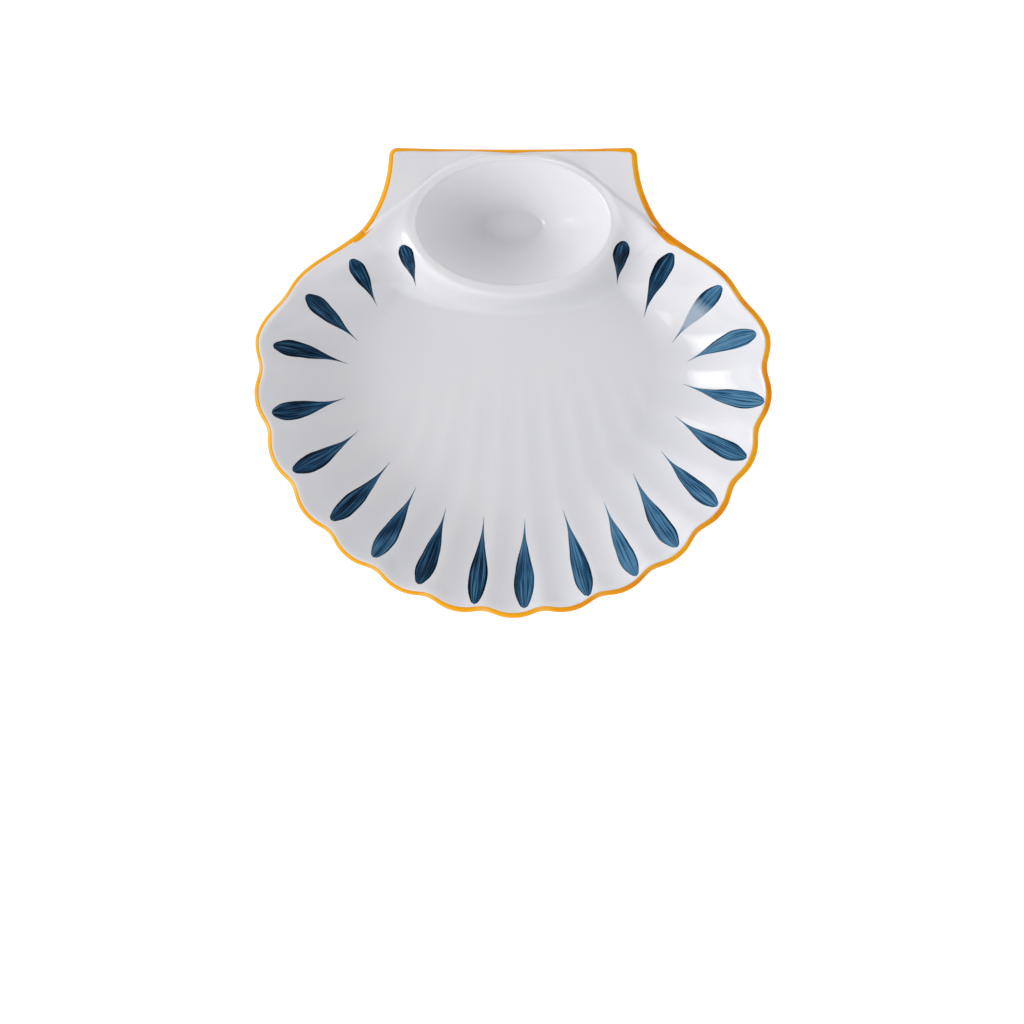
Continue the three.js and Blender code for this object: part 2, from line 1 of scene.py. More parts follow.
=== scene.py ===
import math
import bpy
import numpy as np
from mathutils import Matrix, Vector


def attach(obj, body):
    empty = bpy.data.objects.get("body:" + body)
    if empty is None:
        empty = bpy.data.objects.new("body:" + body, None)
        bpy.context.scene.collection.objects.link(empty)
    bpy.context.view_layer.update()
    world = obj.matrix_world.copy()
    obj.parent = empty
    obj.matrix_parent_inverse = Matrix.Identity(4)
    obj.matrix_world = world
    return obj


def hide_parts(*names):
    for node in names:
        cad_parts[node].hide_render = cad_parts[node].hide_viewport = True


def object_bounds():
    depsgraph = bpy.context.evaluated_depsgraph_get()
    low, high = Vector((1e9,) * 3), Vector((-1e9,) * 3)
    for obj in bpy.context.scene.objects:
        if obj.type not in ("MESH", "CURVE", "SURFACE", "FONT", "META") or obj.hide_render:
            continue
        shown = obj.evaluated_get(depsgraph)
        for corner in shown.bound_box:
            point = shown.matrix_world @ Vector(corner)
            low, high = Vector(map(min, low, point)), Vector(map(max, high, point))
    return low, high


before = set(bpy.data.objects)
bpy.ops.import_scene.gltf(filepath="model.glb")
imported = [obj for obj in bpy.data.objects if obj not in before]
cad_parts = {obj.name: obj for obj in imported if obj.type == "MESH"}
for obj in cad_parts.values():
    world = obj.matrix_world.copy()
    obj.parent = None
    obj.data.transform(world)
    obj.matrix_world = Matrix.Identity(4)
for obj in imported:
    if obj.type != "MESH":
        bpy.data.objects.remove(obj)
cad_low, cad_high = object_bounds()

# Glazed shell
# One pressing of white clay: a fluted dish, an oval sauce well behind a divider, and two flat ears at the
# hinge edge. It is dipped in clear glaze and fired, so its surfaces run into each other in soft curves.
mm = 0.001
paint = 0.08 * mm
side_margin = 0.15 * mm
lip_radius = 2 * mm
front_reach = 102.3 * mm
shell_y = cad_low.y + front_reach
hinge_y = cad_high.y - shell_y - paint
half_width = cad_high.x - paint - side_margin
quarter_turn = 90
half_turn = 180


def smooth(share):
    share = np.clip(share, 0, 1)
    return share * share * (3 - 2 * share)


def mix(first, last, share):
    return first + (last - first) * share


def between(value, low_high):
    return smooth((value - low_high[0]) / (low_high[1] - low_high[0]))


# Turn of a point round the middle of the dish, in degrees from the front, and the radius of an oval there
def turn_of(x, y):
    return np.degrees(np.arctan2(x, -y))


def oval_radius(turn, wide, long):
    return 1 / np.hypot(np.sin(np.radians(turn)) / wide, np.cos(np.radians(turn)) / long)


# Flutes: evenly spaced to the shoulder, then stretched, and faded out before the notch
flute_pitch = 14
flute_depth_front = 2.1 * mm
flute_depth_side = 2.5 * mm
flute_lift = 0.5 * mm
flute_roundness = 0.12
flute_end = (104, 132)
shoulder_turn = 98
back_flute_stretch = 0.3


def flute_fade(turn):
    return 1 - between(np.abs(turn), flute_end)


def flute_place(turn):
    past_shoulder = np.clip(np.abs(turn) - shoulder_turn, 0, None)
    return turn - np.sign(turn) * back_flute_stretch * past_shoulder


# Rim without its flutes: it swells at the sides and draws in to the notches. Behind them it is the crease
# between the ears and the dish.
widest_flute = 6 * flute_pitch
swell_power = 4
notch_turn = 133
notch_radius = 86 * mm
crease_dip = 1.9 * mm
front_rim_height = 31.6 * mm
side_rim_height = 32.8 * mm
rim_lean = 46
flute_tip = 1 - flute_roundness
widest_sine = math.sin(math.radians(widest_flute))
front_radius = front_reach - paint - flute_tip * flute_depth_front / 2
widest_radius = half_width / widest_sine - flute_tip * flute_depth_side / 2
side_swell = (widest_radius - front_radius) / widest_sine ** swell_power


def rim_radius(turn):
    away = np.abs(turn)
    sideways = np.sin(np.radians(np.minimum(away, shoulder_turn)))
    bulge = front_radius + side_swell * sideways ** swell_power
    drawn = np.clip((away - shoulder_turn) / (notch_turn - shoulder_turn), 0, 1)
    behind = np.clip((away - notch_turn) / (half_turn - notch_turn), 0, 1)
    dip = crease_dip * np.sin(np.pi * np.sqrt(behind))
    return mix(bulge, notch_radius, (drawn + smooth(drawn)) / 2) - dip


def rim_height(turn):
    sideways = np.sin(np.radians(np.minimum(np.abs(turn), quarter_turn))) ** 2
    return mix(front_rim_height, side_rim_height, sideways)


def back_share(turn):
    return between(np.abs(turn), (shoulder_turn, notch_turn))


def lean_at(turn):
    return np.radians(rim_lean * (1 - back_share(turn)))


# Ears: nearly level panels that rise to their corners
ear_start = (129, 137)
ear_half_width = 51.5 * mm
ear_sweep = 2.2
ear_level_width = 31 * mm
ear_low = 31.5 * mm
ear_thickness = 4 * mm
ear_tip = cad_high.z - paint
notch_x = notch_radius * math.sin(math.radians(notch_turn))
notch_y = -notch_radius * math.cos(math.radians(notch_turn))
ear_length = hinge_y - notch_y


def ear_share(turn):
    return between(np.abs(turn), ear_start)


def ear_side(y):
    from_hinge = np.clip(hinge_y - y, 0, None) / ear_length
    return mix(ear_half_width, notch_x, from_hinge ** ear_sweep)


def ear_height(x, y):
    outwards = np.clip((np.abs(x) - ear_level_width) / (ear_side(y) - ear_level_width), 0, 1)
    backwards = np.clip((y - notch_y) / ear_length, 0, 1)
    return mix(ear_low, ear_tip, outwards * backwards)


# Well and divider: the divider loses its height with the distance outside the crown of the well. Its pairs
# of values are for the front of the well and for its sides.
well_half_width = 39.9 * mm
well_half_length = 25.9 * mm
well_lip = 1.05 * mm
well_crown = 32 * mm
well_back_strip = 5.1 * mm
well_y = hinge_y - well_back_strip - well_half_length
crown_width = well_half_width + well_lip
crown_length = well_half_length + well_lip
divider_level = (2.35 * mm, 1.4 * mm)
divider_slope = (3.8 * mm, 9 * mm)
divider_round = (3, 2.2)
divider_toe = 0.1


def crown_distance(x, y):
    back = y - well_y
    size = np.hypot(x / crown_width, back / crown_length)
    slope = np.hypot(x / crown_width ** 2, back / crown_length ** 2)
    return size * (size - 1) / slope


def divider_share(x, y):
    bearing = np.arctan2(x / crown_width, -(y - well_y) / crown_length)
    sideways = np.where(np.cos(bearing) < 0, 1, np.sin(bearing) ** 2)
    past_level = np.clip(crown_distance(x, y) - mix(*divider_level, sideways), 0, None)
    out = past_level / mix(*divider_slope, sideways)
    return np.clip((1 + divider_toe) / (1 + out ** mix(*divider_round, sideways)) - divider_toe, 0, 1)


# Wall of the dish: it steepens to the lip at the front and sides, and levels out towards the hinge
floor_top = 8 * mm
floor_half_width = 59 * mm
floor_half_length = 54 * mm
wall_curve = 2
back_curve = 1.4
back_levelling = 0.6
crease_gap = 2.3 * mm
crease_half_width = 0.75 * mm
crease_round = 1.6 * mm


def wall_place(x, y):
    turn = turn_of(x, y)
    start = oval_radius(turn, floor_half_width, floor_half_length)
    end = rim_radius(turn) - lip_radius * (1 + np.sin(lean_at(turn)))
    return np.clip((np.hypot(x, y) - start) / (end - start), 0, 1)


def top_height(x, y):
    turn = turn_of(x, y)
    up_wall = wall_place(x, y)
    back_wall = mix(up_wall ** back_curve, smooth(up_wall), back_levelling)
    wall = mix(up_wall ** wall_curve, back_wall, back_share(turn))
    divider = divider_share(x, y)
    wall_rise = rim_height(turn) - lip_radius * (1 - np.cos(lean_at(turn))) - floor_top
    divider_rise = well_crown - floor_top
    shared = np.minimum(wall_rise, divider_rise)
    shell = floor_top + wall_rise * wall + divider_rise * divider - shared * wall * divider
    past_rim = np.hypot(x, y) - rim_radius(turn)
    past_well = crown_distance(x, y) - crease_gap
    outside = -crease_round * np.logaddexp(-past_rim / crease_round, -past_well / crease_round)
    on_ear = between(outside, (-crease_half_width, crease_half_width)) * ear_share(turn)
    return mix(shell, ear_height(x, y), on_ear)


# Underside: the bowl rises from the foot to the lip, and the cup hangs through it to the height of the foot
foot_height = 3.5 * mm
foot_half_width = 69.5 * mm
foot_half_length = 56.5 * mm
foot_show = 2.5 * mm
foot_lap = 4 * mm
outside_curve = 1.5
well_floor_half_width = 11.5 * mm
well_floor_half_length = 6.3 * mm
cup_wall = 4.5 * mm
cup_lip = 2.1 * mm
cup_curve = 1.7


def under_height(x, y):
    turn = turn_of(x, y)
    lean = lean_at(turn)
    reach = np.hypot(x, y)
    start = oval_radius(turn, foot_half_width, foot_half_length)
    end = rim_radius(turn) - lip_radius * (1 - np.sin(lean))
    bowl = np.clip((reach - start) / (end - start), 0, 1)
    bearing = turn_of(x, y - well_y)
    low = oval_radius(bearing, well_floor_half_width + cup_wall, well_floor_half_length + cup_wall)
    high = oval_radius(bearing, well_half_width + cup_lip, well_half_length + cup_lip)
    cup = np.clip((np.hypot(x, y - well_y) - low) / (high - low), 0, 1)
    lip_under = rim_height(turn) - lip_radius * (1 + np.cos(lean))
    edge = mix(lip_under, ear_height(x, y) - ear_thickness, ear_share(turn))
    base = mix(foot_height, foot_show, smooth((reach - start) / foot_lap + 1))
    return mix(base, edge, bowl ** outside_curve * cup ** cup_curve), bowl


# Outline of the shell from the front round its right side to the hinge, then mirrored. The notch is eased.
columns_per_flute = 16
ear_columns = 24
ear_corner = 3.6 * mm
corner_columns = 8
hinge_columns = 36
hinge_bow = 0.6 * mm
notch_ease_span = 3
notch_ease_rounds = 5


def ease_notch(outline, notch):
    span = slice(notch - notch_ease_span, notch + notch_ease_span + 1)
    before = slice(span.start - 1, span.stop - 1)
    after = slice(span.start + 1, span.stop + 1)
    for _ in range(notch_ease_rounds):
        outline[span] = (outline[before] + outline[after]) / 2


def half_outline():
    turns = np.linspace(0, notch_turn, round(notch_turn / flute_pitch * columns_per_flute) + 1)
    reach = rim_radius(turns)
    front = np.column_stack([reach * np.sin(np.radians(turns)), -reach * np.cos(np.radians(turns))])
    side_y = np.linspace(notch_y, hinge_y - ear_corner, ear_columns + 1)[1:]
    side = np.column_stack([ear_side(side_y), side_y])
    corner_x = side[-1, 0] - ear_corner
    swing = np.linspace(0, math.pi / 2, corner_columns + 1)[1:]
    corner = np.column_stack([
        corner_x + ear_corner * np.cos(swing),
        hinge_y - ear_corner + ear_corner * np.sin(swing),
    ])
    hinge_x = np.linspace(corner_x, 0, hinge_columns + 1)[1:]
    hinge = np.column_stack([hinge_x, hinge_y - hinge_bow * (1 - (hinge_x / corner_x) ** 2)])
    outline = np.vstack([front, side, corner, hinge])
    notch = len(front) - 1
    ease_notch(outline, notch)
    return outline, notch


right_half, notch_column = half_outline()
left_half = right_half[-2:0:-1] * (-1, 1)
outline = np.vstack([right_half, left_half])
tangent = np.roll(outline, -1, axis=0) - np.roll(outline, 1, axis=0)
outward = np.column_stack([tangent[:, 1], -tangent[:, 0]])
outward /= np.linalg.norm(outward, axis=1)[:, None]
column_turn = turn_of(outline[:, 0], outline[:, 1])
column_lean = lean_at(column_turn)
lip_top = mix(rim_height(column_turn), ear_height(outline[:, 0], outline[:, 1]), ear_share(column_turn))
lip_middle = np.column_stack([outline - outward * lip_radius, lip_top - lip_radius])


# Ring along the rim, in a direction round the middle of the rounded lip and at a distance from it
def lip_ring(direction, distance):
    ring = np.empty_like(lip_middle)
    ring[:, :2] = lip_middle[:, :2] + outward * (distance * np.cos(direction))[:, None]
    ring[:, 2] = lip_middle[:, 2] + distance * np.sin(direction)
    return ring


# Each column of the mesh runs from the middle of the well over its crown, the dish and the lip to the
# middle of the foot. In front of the notches its bearing from the well is a share of its turn at the rim.
bearing_share = 0.71
steps_round = np.linalg.norm(np.diff(right_half, axis=0), axis=1)
walked = np.concatenate([[0], np.cumsum(steps_round)])
past_notch = (walked - walked[notch_column]) / (walked[-1] - walked[notch_column])
right_bearing = np.where(
    np.arange(len(right_half)) <= notch_column,
    bearing_share * np.abs(column_turn[:len(right_half)]),
    mix(bearing_share * notch_turn, half_turn, past_notch),
)
column_bearing = np.radians(np.concatenate([right_bearing, -right_bearing[-2:0:-1]]))


def well_ring(half_wide, half_long, height):
    ring = np.empty((len(column_bearing), 3))
    ring[:, 0] = half_wide * np.sin(column_bearing)
    ring[:, 1] = well_y - half_long * np.cos(column_bearing)
    ring[:, 2] = height
    return ring


# Well: a flat floor, a small fillet, a nearly straight wall and a rounded lip
well_straight = 0.86
well_bow = 3
well_fillet = 0.08
well_floor_rows = 4
well_wall_rows = 36
well_row_spread = 1.5
well_lip_rows = 4
lip_foot = well_crown - well_lip


def well_rise(part):
    filleted = part - well_fillet / 2 if part > well_fillet else part ** 2 / (2 * well_fillet)
    return mix(part ** well_bow, filleted / (1 - well_fillet / 2), well_straight)


well_rings = []
for step in range(1, well_floor_rows + 1):
    part = step / well_floor_rows
    well_rings.append(well_ring(well_floor_half_width * part, well_floor_half_length * part, floor_top))
for step in range(1, well_wall_rows + 1):
    part = (step / well_wall_rows) ** well_row_spread
    wide = mix(well_floor_half_width, well_half_width, part)
    long = mix(well_floor_half_length, well_half_length, part)
    well_rings.append(well_ring(wide, long, mix(floor_top, lip_foot, well_rise(part))))
for step in range(1, well_lip_rows + 1):
    over = math.pi * (1 - step / (2 * well_lip_rows))
    out = well_lip * (1 + math.cos(over))
    height = lip_foot + well_lip * math.sin(over)
    well_rings.append(well_ring(well_half_width + out, well_half_length + out, height))

# Dish: rows from the crown to the lip, closer together near the well, that join both ends without a step
top_rows = 100
even_span = 45 * mm
far_row_spread = 1.6
crown_join = (0, 0.25)
lip_join = (2 / 3, 1)
crown = well_rings[-1]
lip_start = lip_ring(column_lean + math.pi / 2, lip_radius)
span = np.linalg.norm(lip_start[:, :2] - crown[:, :2], axis=1)
near_span = np.minimum(span, even_span)
crown_error = crown[:, 2] - top_height(crown[:, 0], crown[:, 1])
lip_error = lip_start[:, 2] - top_height(lip_start[:, 0], lip_start[:, 1])
top_rings = []
for step in range(1, top_rows):
    part = step / top_rows
    along = (near_span * part + (span - near_span) * part ** far_row_spread) / span
    plan = mix(crown[:, :2], lip_start[:, :2], along[:, None])
    height = top_height(plan[:, 0], plan[:, 1])
    height += crown_error * (1 - between(part, crown_join)) + lip_error * between(along, lip_join)
    top_rings.append(np.column_stack([plan, height]))

# Lip and underside: rows round the edge, then in to the middle of the foot
lip_rows = 10
under_rows = 34
under_join = (0.75, 1)
lip_rings = []
for step in range(lip_rows + 1):
    over = math.pi * (0.5 - step / lip_rows)
    lip_rings.append(lip_ring(column_lean + over, lip_radius))
lip_end = lip_rings[-1]
under_error = lip_end[:, 2] - under_height(lip_end[:, 0], lip_end[:, 1])[0]
under_rings = []
under_bowls = []
for step in range(1, under_rows):
    part = 1 - step / under_rows
    plan = lip_end[:, :2] * part
    height, bowl = under_height(plan[:, 0], plan[:, 1])
    height += under_error * between(part, under_join)
    under_rings.append(np.column_stack([plan, height]))
    under_bowls.append(bowl)

# Where each point lies along the flutes, and how much of their depth it takes. On the floor the flutes
# fan out from a point just behind the hinge.
floor_flute_share = 0.36
floor_flute_start = 15 * mm
floor_flute_run = 45 * mm
flute_apex = 102 * mm
foot_flute_share = 0.5


def floor_flute_turn(x, y):
    squeeze = floor_half_length / floor_half_width
    across = x * squeeze
    down = y - flute_apex
    reach = np.hypot(across, down)
    along = -down / reach * flute_apex
    far = along + np.sqrt(np.clip(along ** 2 - flute_apex ** 2 + floor_half_length ** 2, 0, None))
    return turn_of(across / reach * far / squeeze, flute_apex + down / reach * far)


def top_flutes(ring):
    x, y = ring[:, :2].T
    up_wall = wall_place(x, y)
    on_floor = floor_flute_share * smooth((floor_flute_start - y) / floor_flute_run)
    turn = np.where(up_wall > 0, turn_of(x, y), floor_flute_turn(x, y))
    return flute_place(turn), mix(on_floor, 1, up_wall) * flute_fade(turn) * (1 - divider_share(x, y))


rings = well_rings + top_rings + lip_rings + under_rings
turn_rings = [np.zeros(len(outline)) for _ in well_rings]
share_rings = [np.zeros(len(outline)) for _ in well_rings]
for ring in top_rings:
    ring_turn, ring_share = top_flutes(ring)
    turn_rings.append(ring_turn)
    share_rings.append(ring_share)
for _ in lip_rings:
    turn_rings.append(flute_place(column_turn))
    share_rings.append(flute_fade(column_turn))
for bowl in under_bowls:
    turn_rings.append(flute_place(column_turn))
    share_rings.append(flute_fade(column_turn) * mix(foot_flute_share, 1, bowl))


def poles_mesh(name, rings, first_pole, last_pole):
    ring_size = len(rings[0])
    points = np.vstack([[first_pole], *rings, [last_pole]])
    last = len(points) - 1
    index = np.arange(ring_size)
    pairs = list(zip(index, np.roll(index, -1)))
    faces = [(0, 1 + here, 1 + after) for here, after in pairs]
    for row in range(len(rings) - 1):
        near = 1 + row * ring_size
        far = near + ring_size
        faces += [(near + here, far + here, far + after, near + after) for here, after in pairs]
    edge = last - ring_size
    faces += [(edge + here, last, edge + after) for here, after in pairs]
    mesh = bpy.data.meshes.new(name)
    mesh.from_pydata((points + (0, shell_y, 0)).tolist(), [], faces)
    return mesh


def store(mesh, name, values):
    layer = mesh.attributes.new(name, "FLOAT", "POINT")
    layer.data.foreach_set("value", np.asarray(values, np.float32))


def place(name, data):
    piece = bpy.data.objects.new(name, data)
    bpy.context.scene.collection.objects.link(piece)
    return piece


shell_mesh = poles_mesh("glazed_shell", rings, (0, well_y, floor_top), (0, 0, foot_height))
store(shell_mesh, "flute_turn", np.concatenate([[0], *turn_rings, [0]]))
store(shell_mesh, "flute_share", np.concatenate([[0], *share_rings, [0]]))


# Node trees: an input takes a link or a plain value, by its place among the live inputs or by its name
def feed(tree, socket, value):
    if isinstance(value, bpy.types.NodeSocket):
        tree.links.new(value, socket)
    else:
        socket.default_value = value


def feed_by_name(tree, node, inputs):
    for name, value in inputs.items():
        feed(tree, node.inputs[name], value)


def add_node(tree, kind, *values, inputs=None, **settings):
    node = tree.nodes.new(kind)
    for setting, value in settings.items():
        setattr(node, setting, value)
    for socket, value in zip([s for s in node.inputs if s.enabled], values):
        feed(tree, socket, value)
    feed_by_name(tree, node, inputs or {})
    return node


def live_output(node):
    return next(socket for socket in node.outputs if socket.enabled)


def calc(tree, operation, *values):
    return add_node(tree, "ShaderNodeMath", *values, operation=operation).outputs[0]


def vector_calc(tree, operation, *values):
    return live_output(add_node(tree, "ShaderNodeVectorMath", *values, operation=operation))


def read(tree, name):
    return live_output(add_node(tree, "GeometryNodeInputNamedAttribute", name, data_type="FLOAT"))


def split(tree, vector):
    return add_node(tree, "ShaderNodeSeparateXYZ", vector).outputs


def combine(tree, x, y, z):
    return add_node(tree, "ShaderNodeCombineXYZ", x, y, z).outputs[0]


def point_position(tree):
    return add_node(tree, "GeometryNodeInputPosition").outputs[0]


def geometry_tree(name, **inputs):
    tree = bpy.data.node_groups.new(name, "GeometryNodeTree")
    tree.interface.new_socket("Geometry", in_out="INPUT", socket_type="NodeSocketGeometry")
    for label, kind in inputs.items():
        tree.interface.new_socket(label, in_out="INPUT", socket_type="NodeSocket" + kind)
    tree.interface.new_socket("Geometry", in_out="OUTPUT", socket_type="NodeSocketGeometry")
    given = tree.nodes.new("NodeGroupInput").outputs
    return tree, {socket.name: socket for socket in given if socket.name}


def close_tree(tree, geometry, finish):
    shaded = add_node(tree, "GeometryNodeSetShadeSmooth", geometry).outputs[0]
    plain = add_node(tree, "GeometryNodeRealizeInstances", shaded).outputs[0]
    painted = add_node(tree, "GeometryNodeSetMaterial", plain, inputs={"Material": finish})
    output = tree.nodes.new("NodeGroupOutput")
    tree.links.new(painted.outputs[0], output.inputs[0])


# The tree runs once on a piece, whose mesh is then what the tree made
def grow(piece, tree, **inputs):
    modifier = piece.modifiers.new(tree.name, "NODES")
    modifier.node_group = tree
    for item in tree.interface.items_tree:
        if item.in_out == "INPUT" and item.name in inputs:
            modifier[item.identifier] = inputs[item.name]
    depsgraph = bpy.context.evaluated_depsgraph_get()
    grown = bpy.data.meshes.new_from_object(piece.evaluated_get(depsgraph), depsgraph=depsgraph)
    piece.modifiers.clear()
    piece.data = grown
    grown.name = piece.name


# Fluting: a wave round the middle of the dish presses the wall out and down in each trough
fluting, given = geometry_tree(
    "fluting", Pitch="Float", Front_depth="Float", Side_depth="Float", Lift="Float", Roundness="Float",
    Centre="Vector", Finish="Material",
)
turn = read(fluting, "flute_turn")
share = read(fluting, "flute_share")
phase = calc(fluting, "DIVIDE", calc(fluting, "MULTIPLY", turn, math.tau), given["Pitch"])
ripple = calc(fluting, "COSINE", calc(fluting, "MULTIPLY", phase, 2.0))
flattening = calc(fluting, "MULTIPLY", ripple, given["Roundness"])
wave = calc(fluting, "SUBTRACT", calc(fluting, "COSINE", phase), flattening)
pressed = calc(fluting, "MULTIPLY", wave, share)
sideways = calc(fluting, "POWER", calc(fluting, "SINE", calc(fluting, "RADIANS", turn)), 2.0)
depth_gain = calc(fluting, "SUBTRACT", given["Side_depth"], given["Front_depth"])
depth = calc(fluting, "MULTIPLY_ADD", depth_gain, sideways, given["Front_depth"])
from_centre = vector_calc(fluting, "SUBTRACT", point_position(fluting), given["Centre"])
plan_only = vector_calc(fluting, "MULTIPLY", from_centre, (1, 1, 0))
radial = vector_calc(fluting, "NORMALIZE", plan_only)
push_out = calc(fluting, "MULTIPLY", calc(fluting, "MULTIPLY", pressed, depth), 0.5)
push_down = calc(fluting, "MULTIPLY", calc(fluting, "MULTIPLY", pressed, given["Lift"]), -0.5)
drop = combine(fluting, 0.0, 0.0, push_down)
push = vector_calc(fluting, "ADD", vector_calc(fluting, "SCALE", radial, push_out), drop)
moved = add_node(fluting, "GeometryNodeSetPosition", given["Geometry"], inputs={"Offset": push})
pooled = add_node(
    fluting, "GeometryNodeStoreNamedAttribute", data_type="FLOAT", domain="POINT",
    inputs={"Geometry": moved.outputs[0], "Name": "pooling", "Value": pressed},
)
close_tree(fluting, pooled.outputs[0], given["Finish"])
flute_sizes = dict(
    Pitch=float(flute_pitch), Front_depth=flute_depth_front, Side_depth=flute_depth_side, Lift=flute_lift,
    Roundness=flute_roundness, Centre=(0.0, shell_y, 0.0),
)

# Glaze: bluish white and glossy, a little deeper where it pooled in the flutes, and faintly uneven
glaze_white = (0.86, 0.86, 0.885, 1)
glaze_cool = (0.82, 0.825, 0.865, 1)
glaze_pool = (0.78, 0.795, 0.85, 1)
glaze_pool_share = 0.45
glaze_mottle_scale = 22
glaze_mottle_detail = 3.0
glaze_mottle_band = (0.35, 0.7)
glaze_patch_scale = 66
glaze_patch_band = (0.3, 0.7)
glaze_roughness = (0.05, 0.08)
glaze_peel_scale = 420
glaze_peel_strength = 0.02
glaze_peel_depth = 0.2 * mm
plain_detail = 2.0
whole = (0.0, 1.0)


def new_finish(name):
    finish = bpy.data.materials.new(name)
    finish.use_nodes = True
    tree = finish.node_tree
    return finish, tree, tree.nodes["Principled BSDF"]


def blend_colours(tree, share, first, second):
    return live_output(add_node(tree, "ShaderNodeMix", share, first, second, data_type="RGBA"))


def noise(tree, where, scale=1.0, detail=plain_detail):
    inputs = {"Vector": where, "Scale": scale, "Detail": detail}
    return add_node(tree, "ShaderNodeTexNoise", inputs=inputs).outputs["Fac"]


def remap(tree, value, old, new=whole):
    return add_node(tree, "ShaderNodeMapRange", value, *old, *new).outputs[0]


def object_place(tree):
    return add_node(tree, "ShaderNodeTexCoord").outputs["Object"]


def flute_pooling(tree):
    return add_node(tree, "ShaderNodeAttribute", attribute_name="pooling").outputs["Fac"]


def glaze_colour(tree):
    mottle = noise(tree, object_place(tree), glaze_mottle_scale, glaze_mottle_detail)
    dipped = blend_colours(tree, remap(tree, mottle, glaze_mottle_band), glaze_white, glaze_cool)
    pooling = remap(tree, flute_pooling(tree), whole, (0.0, glaze_pool_share))
    return blend_colours(tree, pooling, dipped, glaze_pool)


glaze, tree, shader = new_finish("white_glaze")
patches = noise(tree, object_place(tree), glaze_patch_scale)
peel = noise(tree, object_place(tree), glaze_peel_scale)
peel_sizes = {"Strength": glaze_peel_strength, "Distance": glaze_peel_depth, "Height": peel}
feed_by_name(tree, shader, {
    "Base Color": glaze_colour(tree),
    "Roughness": remap(tree, patches, glaze_patch_band, glaze_roughness),
    "Normal": add_node(tree, "ShaderNodeBump", inputs=peel_sizes).outputs[0],
})

shell = place("glazed_shell", shell_mesh)
grow(shell, fluting, Finish=glaze, **flute_sizes)
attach(shell, "root")
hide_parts("dish_shell", "well_divider", "sauce_well", "hinge_ear_left", "hinge_ear_right")

# Foot ring
# A low oval ring of the same clay, turned under the floor. Its sides are glazed, and its bottom edge is
# wiped bare, so that it doesn't stick in the kiln.
foot_width = 4.5 * mm
foot_sink = 1 * mm
foot_round = 0.9 * mm
foot_round_steps = 5
foot_columns = 180
foot_tall = foot_height + foot_sink
clay_bare = (0.70, 0.66, 0.58, 1)
clay_speck = (0.52, 0.47, 0.40, 1)
clay_roughness = 0.75
foot_gloss = 0.07
bare_height = 0.3 * mm
wipe_fade = 0.2 * mm
wipe_wander = 0.3 * mm
wipe_scale = 160
grit_scale = 900
grit_band = (0.5, 0.72)

footing, given = geometry_tree(
    "footing", Half_width="Float", Half_length="Float", Width="Float", Height="Float", Round="Float",
    Centre="Vector", Finish="Material",
)
ring_sizes = {"Resolution": foot_columns, "Radius": 1.0}
ring_path = add_node(footing, "GeometryNodeCurvePrimitiveCircle", inputs=ring_sizes)
stretch = combine(footing, given["Half_width"], given["Half_length"], 0.0)
oval = add_node(
    footing, "GeometryNodeTransform", ring_path.outputs[0],
    inputs={"Scale": stretch, "Translation": given["Centre"]},
)
profile = add_node(footing, "GeometryNodeCurvePrimitiveQuadrilateral", given["Width"], given["Height"])
rounded = add_node(
    footing, "GeometryNodeFilletCurve", profile.outputs[0], mode="POLY",
    inputs={"Count": foot_round_steps, "Radius": given["Round"]},
)
upright = add_node(footing, "GeometryNodeSetCurveNormal", oval.outputs[0], mode="Z_UP")
swept = add_node(
    footing, "GeometryNodeCurveToMesh",
    inputs={"Curve": upright.outputs[0], "Profile Curve": rounded.outputs[0]},
)
close_tree(footing, swept.outputs[0], given["Finish"])

foot_finish, tree, shader = new_finish("bare_foot")
height_above = split(tree, object_place(tree))["Z"]
wiped_edge = noise(tree, object_place(tree), wipe_scale)
wiped = calc(tree, "MULTIPLY_ADD", wiped_edge, -wipe_wander, height_above)
bare_share = remap(tree, wiped, (bare_height, bare_height - wipe_fade))
grit = remap(tree, noise(tree, object_place(tree), grit_scale), grit_band)
clay = blend_colours(tree, grit, clay_bare, clay_speck)
feed_by_name(tree, shader, {
    "Base Color": blend_colours(tree, bare_share, glaze_colour(tree), clay),
    "Roughness": remap(tree, bare_share, whole, (foot_gloss, clay_roughness)),
})

foot = place("foot_ring", bpy.data.meshes.new("foot_ring"))
grow(
    foot, footing, Half_width=foot_half_width - foot_width / 2,
    Half_length=foot_half_length - foot_width / 2, Width=foot_width, Height=foot_tall, Round=foot_round,
    Centre=(0.0, shell_y, foot_tall / 2), Finish=foot_finish,
)
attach(foot, "root")
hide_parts("foot_ring")

# Brush strokes
# One comma of cobalt in each flute, laid with a loaded round brush: it presses down near the rim, pulls
# along the wall and lifts off on the floor in a hair-thin tail. The clear glaze covers it.
camera_height = 1.8
picture_size = 1024
photo_scale = 2.409 / mm
shell_pixel = (513, 372)
rim_level = 32 * mm
head_level = 29 * mm
tail_level = 9.5 * mm
eye_x = (picture_size / 2 - shell_pixel[0]) / photo_scale
eye_y = shell_y + (shell_pixel[1] - picture_size / 2) / photo_scale


# Plan point under a pixel of the picture, for paint that lies at the given height
def from_photo(pixel, level):
    nearer = (camera_height + rim_level - level) / camera_height
    x = eye_x + (pixel[0] - picture_size / 2) / photo_scale * nearer
    y = eye_y + (picture_size / 2 - pixel[1]) / photo_scale * nearer
    return (x, y, 0.0)


